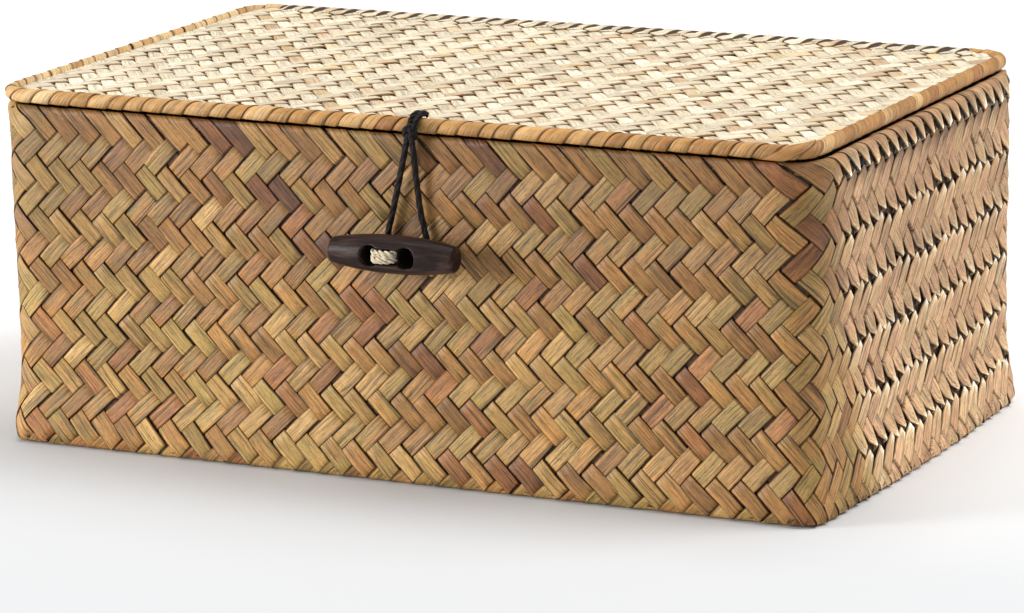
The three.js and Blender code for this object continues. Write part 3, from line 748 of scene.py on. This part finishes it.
base_heap = weave_flat(
    base_surface,
    inside_base,
    a=PITCH / 2,
    b=PITCH / 2,
    box=BASE_BOX,
    lift=WALL_LIFT,
    thickness=WALL_STRIP,
    half=WALL_HALF,
    tones=wall_tone,
    cover=(0.97, 1.0),
    bend=0.1,
)
base_x, base_y = (np.linspace(2 - half, half - 2, 3) for half in (BASE_X, BASE_Y))
add_shade_sheet(base_heap, base_surface, base_x, base_y)
base = base_heap.build("weave_base", wall_leaf, sharp=42)
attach(base, "box")
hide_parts("base_mat")

# Lid and hinge: how far the lid rises inside its rim, swells at the back edge and dips at the rim, and the
# roll of the strips over the back edge
LID_RISE, LID_SWELL = 0.4, 1.2
RIM_DIP, RIM_DIP_WIDTH = 0.9, 6
ROLL_R = 2.6
ROLL_Y = FOLD_Y - ROLL_R
FOLD_START = ROLL_Y - 5.5
FOLD_END = ROLL_Y + ROLL_R * math.pi / 2 + 14.5


def lid_surface(x, y):
    """The lid's plane, which swells near the back edge, rolls over it and runs down the back wall."""
    over = np.clip((y - ROLL_Y) / ROLL_R, 0, math.pi / 2)
    drop = np.maximum(y - ROLL_Y - ROLL_R * math.pi / 2, 0)
    swell = np.clip((y - FOLD_START) / (ROLL_Y - FOLD_START), 0, 1)
    swell = swell * np.clip(np.minimum(x - FOLD_LEFT, FOLD_RIGHT - x) / 4 + 1, 0, 1)
    yy = np.where(y < ROLL_Y, y, ROLL_Y + ROLL_R * np.sin(over))
    zz = LID_Z + LID_RISE + LID_SWELL * soft_step(swell) - ROLL_R * (1 - np.cos(over)) - drop
    border = np.minimum(np.minimum(x - LID_LEFT, LID_RIGHT - x), y - LID_FRONT)
    zz = zz - RIM_DIP * (1 - np.clip(border / RIM_DIP_WIDTH, 0, 1)) ** 2
    return np.stack([x + 0 * yy, yy, zz], -1)


def inside_lid(x, y):
    edge = (LID_LEFT + 0.8, LID_RIGHT - 0.8, LID_FRONT + 0.8, HINGE_Y - 0.8)
    free = (y < FOLD_START) | (x < FOLD_LEFT - 2) | (x > FOLD_RIGHT + 2)
    return clip_rounded(x, y, *edge, LID_CORNER_FRONT, LID_CORNER_BACK) & free


def inside_hinge(x, y):
    return (y > FOLD_START - 0.6) & (y < FOLD_END) & (x > FOLD_LEFT - 3) & (x < FOLD_RIGHT + 3)


def hinge_bend(y):
    """1 on the roll over the back edge, 0 on the lid and down the back wall."""
    return np.interp(y, [FOLD_START + 1, ROLL_Y - 2, ROLL_Y + 3.5, ROLL_Y + 6.5], [0, 1, 1, 0])


LID_WEAVE = dict(
    a=LID_A,
    b=LID_B,
    lift=LID_LIFT,
    thickness=LID_STRIP,
    half=LID_HALF,
    tones=lid_tone,
    cover=(0.94, 1.0),
    bend=0.13,
    pinch=0.22,
    sunk=0.26,
)
lid_heap = weave_flat(lid_surface, inside_lid, box=(LID_LEFT, LID_RIGHT, LID_FRONT, HINGE_Y), **LID_WEAVE)
sheet_x = np.linspace(LID_LEFT + 1.5, LID_RIGHT - 1.5, 90)
add_shade_sheet(lid_heap, lid_surface, sheet_x, np.linspace(LID_FRONT + 1.5, HINGE_Y - 1.5, 50))
lid = lid_heap.build("weave_lid", lid_leaf, sharp=42)
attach(lid, "lid")
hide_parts("lid_mat")

hinge_box = (LID_LEFT, LID_RIGHT, FOLD_START - 4, FOLD_END + 4)
hinge_heap = weave_flat(lid_surface, inside_hinge, box=hinge_box, apart=hinge_bend, **LID_WEAVE)
sheet_x = np.linspace(FOLD_LEFT, FOLD_RIGHT, 3)
flat_y, roll_y = np.linspace(FOLD_START - 0.5, ROLL_Y, 6), np.linspace(ROLL_Y + 0.4, ROLL_Y + 4.4, 11)
sheet_y = np.r_[flat_y, roll_y, FOLD_END - 0.5]
# Darker here, and raised into the roll, as painted shade in the slits over the back edge
add_shade_sheet(hinge_heap, lid_surface, sheet_x, sheet_y, depth=0.48 * hinge_bend(sheet_y), light=0.22)
hinge = hinge_heap.build("weave_hinge", lid_leaf, sharp=42)
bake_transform(hinge)
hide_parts("hinge_fold")


# Bound rim of the lid
def lid_rim_line():
    """Points and outward normals along the centre of the lid's rim, from the back left to the back right."""
    back_y, front_y = HINGE_Y - LID_CORNER_BACK, LID_FRONT + LID_CORNER_FRONT
    corners = [
        (LID_LEFT + LID_CORNER_BACK, back_y, LID_CORNER_BACK),
        (LID_LEFT + LID_CORNER_FRONT, front_y, LID_CORNER_FRONT),
        (LID_RIGHT - LID_CORNER_FRONT, front_y, LID_CORNER_FRONT),
        (LID_RIGHT - LID_CORNER_BACK, back_y, LID_CORNER_BACK),
    ]
    points = [(corners[0][0] + BACK_RETURN, HINGE_Y)]
    for quarter, (cx, cy, radius) in enumerate(corners, 1):
        for angle in np.linspace(quarter, quarter + 1, 25) * math.pi / 2:
            points.append((cx + radius * math.cos(angle), cy + radius * math.sin(angle)))
    points.append((corners[-1][0] - BACK_RETURN, HINGE_Y))
    points = np.array(points)
    length = np.r_[0, np.cumsum(np.linalg.norm(np.diff(points, axis=0), axis=1))]
    even = np.linspace(0, length[-1], 3000)
    xy = np.stack([np.interp(even, length, points[:, k]) for k in (0, 1)], -1)
    tangent = np.gradient(xy, axis=0)
    tangent /= np.linalg.norm(tangent, axis=1, keepdims=True)
    return even, xy, np.stack([tangent[:, 1], -tangent[:, 0]], -1)


RIM_S, RIM_XY, RIM_N = lid_rim_line()


def rim_point(s, angle, radius):
    s = np.clip(s, 0, RIM_S[-1])
    x, y, nx, ny = (np.interp(s, RIM_S, values) for values in (*RIM_XY.T, *RIM_N.T))
    out = radius * np.cos(angle)
    return np.stack([x + nx * out, y + ny * out, LID_Z + radius * np.sin(angle)], -1)


# Cross section of a turn of the binding: places across it, in shares of its half width, and their heights
WRAP_SHARE = np.array([-1, -0.95, 0, 0.95, 1, 0.9, 0, -0.9])
WRAP_RISE = np.array([-0.2, -0.1, 0.08, 0.2, 0.02, -0.1, -0.25, -0.4])


def bind_rim():
    """A strip wound round the rim, each turn a little over the last, with a tucked end at the front right
    corner. The turns are paler at the left end."""
    heap = Heap()
    wraps = int(round(RIM_S[-1] / WRAP_PITCH))
    turn = np.linspace(-math.pi, math.pi, 25)
    tucked = RIM_S[np.argmin(np.hypot(*(RIM_XY - (LID_RIGHT - 6, LID_FRONT)).T))]
    widths = rng.uniform(0.7, 1.35, wraps)
    widths *= RIM_S[-1] / widths.sum()
    places = [(end - width / 2, width, 1.0, 0.0) for end, width in zip(np.cumsum(widths), widths)]
    for place, width, slant, rise in [*places, (tucked, WRAP_PITCH, 2.2, 0.35)]:
        half = width / 2 * rng.uniform(1.02, 1.12)
        lean = slant * WRAP_PITCH * rng.uniform(1.2, 1.7)
        s = place + lean * turn[:, None] / (2 * math.pi) + WRAP_SHARE[None, :] * half
        rough = 0.12 * (smooth_random(len(turn), 6, rng)[:, None] - 0.5)
        points = rim_point(s, turn[:, None], BINDING_R - 0.2 + rise + WRAP_RISE[None, :] + rough)
        fibre = fibre_place(turn * BINDING_R, WRAP_SHARE * WRAP_HALF, rng)
        paler = np.interp(place / RIM_S[-1], [0, 0.27, 0.4, 0.75], [0.45, 0.28, 0.05, 0.0])
        own = rng.choice([0.3, 0.42, 0.54, 0.7], p=[0.3, 0.35, 0.25, 0.1])
        tone = np.clip(own + rng.normal(0, 0.05) - paler, 0, 1)
        light = np.clip(rng.normal(1, 0.06), 0.8, 1.2)
        heap.add(points, fibre=fibre, tone=tone, light=light, lift=1)
    return heap


binding = bind_rim().build("rim_binding", rim_leaf, sharp=60)
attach(binding, "lid")
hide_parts("binding_front", "binding_left", "binding_right")


# Cords
def smooth_line(points, count):
    """Even points of a smooth curve through points, and its length."""
    p = np.asarray(points, float)
    p = np.vstack([2 * p[0] - p[1], p, 2 * p[-1] - p[-2]])
    t = np.linspace(0, 1, 24, endpoint=False)[:, None]
    found = []
    for a, b, c, d in zip(p, p[1:], p[2:], p[3:]):
        bend = (2 * a - 5 * b + 4 * c - d) * t**2 + (3 * b - a - 3 * c + d) * t**3
        found.append(0.5 * (2 * b + (c - a) * t + bend))
    found = np.vstack([*found, p[-2:-1]])
    length = np.r_[0, np.cumsum(np.linalg.norm(np.diff(found, axis=0), axis=1))]
    even = np.linspace(0, length[-1], count)
    return np.stack([np.interp(even, length, found[:, k]) for k in range(3)], -1), length[-1]


def frames(line):
    """Two sides at each point of a line, without twist."""
    tangent = np.gradient(line, axis=0)
    tangent /= np.linalg.norm(tangent, axis=1, keepdims=True)
    side = np.zeros_like(line)
    first = np.cross(tangent[0], (0.3, 0.9, 0.2))
    side[0] = first / np.linalg.norm(first)
    for i in range(1, len(line)):
        s = side[i - 1] - tangent[i] * (side[i - 1] @ tangent[i])
        side[i] = s / np.linalg.norm(s)
    return side, np.cross(tangent, side)


def round_strand(line, radius, sides):
    """Rings of a round strand along a line."""
    side, other = frames(line)
    angle = np.arange(sides) * 2 * math.pi / sides
    ring = side[:, None] * np.cos(angle)[None, :, None] + other[:, None] * np.sin(angle)[None, :, None]
    return line[:, None] + ring * radius


def twisted(heap, line, radius, plies, pitch, sides=7, fat=0.48):
    """A cord of plies laid round one another along even points. A ply's radius is fat times the cord's."""
    side, other = frames(line)
    length = np.r_[0, np.cumsum(np.linalg.norm(np.diff(line, axis=0), axis=1))]
    ply = radius * fat
    for k in range(plies):
        angle = 2 * math.pi * (length / pitch + k / plies)
        offset = side * np.cos(angle)[:, None] + other * np.sin(angle)[:, None]
        rings = round_strand(line + offset * (radius - ply), ply * 1.06, sides)
        across = np.arange(sides) * 2 * math.pi * ply / sides
        heap.add(rings, fibre=fibre_place(length, across, rng, far=300))


def lay_cord(heap, points, count, radius, plies, pitch, **form):
    """A twisted cord along a smooth curve through points."""
    twisted(heap, smooth_line(points, count)[0], radius, plies, pitch, **form)


def yarn_material(name, dark, light, roughness, fuzz):
    """A laid cord: streaks between two colours along its fibres, and a little fuzz."""
    n = Nodes(name)
    fibre = n.attribute("fibre").outputs["Vector"]
    streak = n.fibres(fibre, 0.5, 3.0, 4.0, 0.7)
    n.feed(n.shader, "Base Color", n.ramp(streak, [(0.3, dark), (0.7, light)]))
    n.feed(n.shader, "Roughness", n.math("MULTIPLY_ADD", streak, 0.15, roughness))
    n.feed(n.shader, "Specular IOR Level", 0.15)
    n.feed(n.shader, "Sheen Weight", fuzz)
    n.feed(n.shader, "Normal", n.bump(streak, 0.0004, 0.9))
    return n.material


black_cord = yarn_material("black_cord", srgb(12, 8, 7), srgb(34, 26, 23), 0.42, 0.03)
twine = yarn_material("twine", srgb(186, 166, 132), srgb(240, 228, 202), 0.85, 0.3)

loop_line, loop_length = smooth_line(LOOP_POINTS, 170)
loop_heap = Heap()
twisted(loop_heap, loop_line, 0.98, 3, 13.0, fat=0.7)
loop = loop_heap.build("loop", black_cord)
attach(loop, "loop")
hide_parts("loop_cord")


def tie_knot():
    """Two turns over the bound rim, a lump of a knot on its face, and a short frayed tail."""
    heap = Heap()
    reach = BINDING_R + 1.2
    for x in (KNOT_X - 1.3, KNOT_X + 0.5):
        share = np.linspace(0, 1, 12)
        angle = (0.72 - 0.9 * share) * math.pi
        y, z = LID_FRONT - reach * np.cos(angle), LID_Z + reach * np.sin(angle)
        line = np.stack([x + 1.6 * (1 - share), y, z], -1)
        lay_cord(heap, line, 50, 0.95, 3, 5.0)
    t = np.linspace(0, 2 * math.pi, 50)
    lump = np.stack([1.5 * np.cos(2 * t), 0.7 * np.sin(3 * t), 1.3 * np.sin(2 * t) + 0.8 * np.cos(t)], -1)
    lay_cord(heap, lump + (KNOT_X - 0.2, -86.9, 111.3), 110, 0.9, 3, 5.0, fat=0.6)
    for x, y, z in (LOOP_POINTS[0], LOOP_POINTS[-1]):
        leg = [
            (x, y, z - 0.5),
            (0.7 * x + 0.3 * KNOT_X, y - 0.2, z + 1.6),
            (0.4 * x + 0.6 * KNOT_X, y - 0.1, z + 4),
        ]
        lay_cord(heap, leg, 24, 0.98, 3, 6.0, fat=0.64)
    tail = np.array([(1.0, -87.6, 112.4), (2.0, -87.6, 114.6), (3.2, -86.6, 116.4), (4.2, -85.6, 117.4)])
    lay_cord(heap, tail + (KNOT_X, 0, 0), 30, 0.75, 3, 5.0)
    return heap


knot = tie_knot().build("knot", black_cord)
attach(knot, "lid")
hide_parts("loop_knot")


# Toggle
def toggle_mesh():
    """The bar as one fine grid, pushed in at the groove and at the two holes."""
    lengths, turns = 181, 112
    share = np.linspace(-1, 1, lengths)
    share = np.sign(share) * np.abs(share) ** 0.9
    body = TOGGLE_END_R + (TOGGLE_R - TOGGLE_END_R) * (1 - np.abs(share) ** 2.2)
    edge = np.clip((1 - np.abs(share)) * TOGGLE_HALF / 0.7, 0, 1)
    radius = body - 0.6 * (1 - np.sqrt(1 - (1 - edge) ** 2))
    angle = np.arange(turns) * 2 * math.pi / turns
    x = np.broadcast_to((share * TOGGLE_HALF)[:, None], (lengths, turns))
    y = -radius[:, None] * np.cos(angle)[None, :]
    z = radius[:, None] * np.sin(angle)[None, :]
    front = np.clip(-y / 2.0, 0, 1)
    middle = SLOT_HALF - SLOT_WIDTH / 2
    along = np.maximum(np.abs(x) - middle, 0)
    groove = soft_step((GROOVE_WIDTH / 2 - np.hypot(along, z)) / 0.8) * front
    holes = soft_step((SLOT_WIDTH / 2 - np.hypot(np.abs(x) - middle, z)) / 0.7) * front
    y = y + groove * np.maximum(GROOVE_FLOOR - y, 0)
    y = y + holes * np.maximum(HOLE_FLOOR - y, 0)
    return np.stack([x, y, z], -1) + TOGGLE_MIDDLE


def wood_material():
    """Dark oiled wood with its grain along the bar."""
    n = Nodes("toggle_wood")
    place = n.add("ShaderNodeTexCoord").outputs["Object"]
    grain = n.noise(n.scaled(place, (60.0, 900.0, 900.0)), 1.0, 5.0, 0.62)
    broad = n.noise(n.scaled(place, (25.0, 160.0, 160.0)), 1.0, 2.0)
    mixed = n.math("MULTIPLY_ADD", broad, 0.5, n.math("MULTIPLY", grain, 0.5))
    color = n.ramp(mixed, [(0.36, srgb(19, 13, 12)), (0.5, srgb(41, 30, 28)), (0.64, srgb(78, 58, 52))])
    n.feed(n.shader, "Base Color", color)
    n.feed(n.shader, "Roughness", n.math("MULTIPLY_ADD", grain, 0.25, 0.26))
    n.feed(n.shader, "Specular IOR Level", 0.13)
    n.feed(n.shader, "Normal", n.bump(grain, 0.00025, 0.7))
    return n.material


toggle_heap = Heap()
toggle_heap.add(toggle_mesh())
toggle = toggle_heap.build("toggle", wood_material())
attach(toggle, "toggle")
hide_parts("toggle_bar")


def thread_twine():
    """Strands side by side through the holes of the bar, gathered behind it at the wall."""
    heap = Heap()
    for z in (-1.2, -0.4, 0.4, 1.2):
        leg = [
            (1.8, 9.1, z * 0.6),
            (2.2, 8.1, z * 0.6),
            (2.8, 6.6, z * 0.7),
            (3.3, 3.4, z * 0.8),
            (3.3, 0, z * 0.9),
            (4.2, -2.4, z),
            (4.1, -3.9, z),
            (2.4, -4.8 - rng.uniform(0, 0.4), z),
        ]
        route = np.array([(-x, y, zz) for x, y, zz in leg] + leg[::-1])
        # The middle of the route, and the end in the right hole, lie further left
        route[4:12, 0] -= 1.1
        route[8:11, 0] -= 1.5
        route[11:13, 0] -= 1.2
        rough = rng.normal(0, 0.15, (len(route), 3))
        lay_cord(heap, route + rough + TOGGLE_MIDDLE, 150, 0.8, 2, 4.0)
    t = np.linspace(0, 2 * math.pi, 40)
    coil = np.stack([1.6 * np.cos(t), np.full(len(t), 9.4), 1.6 * np.sin(t)], -1)
    lay_cord(heap, coil + TOGGLE_MIDDLE, 60, 0.8, 2, 4.0)
    return heap


thong = thread_twine().build("thong", twine)
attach(thong, "toggle")
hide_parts("toggle_thong")


def stop_twine():
    """The twisted shank through the wall and the knot inside."""
    heap = Heap()
    shank = [(TOGGLE_X, WALL_FACE + t, TOGGLE_Z) for t in (0.1, 1.5, 4.5)]
    lay_cord(heap, shank, 24, 2.2, 2, 6.0, sides=9)
    t = np.linspace(0, 2 * math.pi, 60)
    wide = 2.3 * (1 + 0.2 * np.cos(3 * t))
    ball = np.stack([wide * np.sin(2 * t), 5.4 + np.sin(3 * t), wide * np.cos(2 * t)], -1)
    lay_cord(heap, ball + (TOGGLE_X, WALL_FACE, TOGGLE_Z), 140, 1.6, 2, 4.0)
    return heap


anchor = stop_twine().build("anchor", twine)
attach(anchor, "box")
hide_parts("thong_anchor")


# Canes inside the rims
def cane_material():
    n = Nodes("cane")
    place = n.add("ShaderNodeTexCoord").outputs["Object"]
    grain = n.noise(place, 400.0, 4.0)
    n.feed(n.shader, "Base Color", n.ramp(grain, [(0.35, srgb(120, 92, 56)), (0.65, srgb(168, 136, 88))]))
    n.feed(n.shader, "Roughness", 0.7)
    return n.material


cane = cane_material()
for node in ("rim_hoop", "lid_cane"):
    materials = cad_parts[node].data.materials
    materials.clear()
    materials.append(cane)


# Stage
def floor_material():
    """Pale and plain, a little whiter towards the back: painted light at the back and painted shadow towards
    the front.
    """
    n = Nodes("floor")
    place = n.add("ShaderNodeTexCoord").outputs["Object"]
    deep = n.add("ShaderNodeSeparateXYZ", {"Vector": place}).outputs["Y"]
    floor_shading = n.math("MULTIPLY_ADD", n.noise(place, 1.2, 2.0), 0.02, n.span(deep, -0.4, 0.8, 0.0, 1.0))
    color = n.ramp(floor_shading, [(0.0, (0.55, 0.56, 0.57)), (0.25, (0.6, 0.61, 0.62)), (0.45, 0.84), (1.0, 0.95)])
    n.feed(n.shader, "Base Color", color)
    n.feed(n.shader, "Roughness", 0.7)
    n.feed(n.shader, "Specular IOR Level", 0.1)
    return n.material


def add_floor():
    mesh = bpy.data.meshes.new("floor")
    mesh.from_pydata([(-6, -6, 0), (6, -6, 0), (6, 6, 0), (-6, 6, 0)], [], [(0, 1, 2, 3)])
    mesh.materials.append(floor_material())
    floor = bpy.data.objects.new("floor", mesh)
    scene.collection.objects.link(floor)


def add_light(name, place, target, size, power):
    data = bpy.data.lights.new(name, "AREA")
    data.shape, data.size, data.energy = "DISK", size, power
    light = bpy.data.objects.new(name, data)
    light.location = place
    light.rotation_mode = "QUATERNION"
    light.rotation_quaternion = (Vector(target) - Vector(place)).to_track_quat("-Z", "Y")
    scene.collection.objects.link(light)


def add_world():
    world = bpy.data.worlds.new("world")
    scene.world = world
    world.use_nodes = True
    background = world.node_tree.nodes["Background"]
    background.inputs["Color"].default_value = (1.0, 1.0, 1.0, 1)
    background.inputs["Strength"].default_value = 0.45


add_floor()
add_light("key", (1.5, 0.5, 1.9), (0, 0, 0.05), 1.6, 42)
add_light("front", (-1.1, -0.95, 0.34), (-0.05, 0, 0.03), 0.6, 22)
add_light("top", (0.0, 0.2, 2.4), (0, 0, 0.1), 1.6, 25)
add_world()
scene.view_settings.view_transform = "Standard"
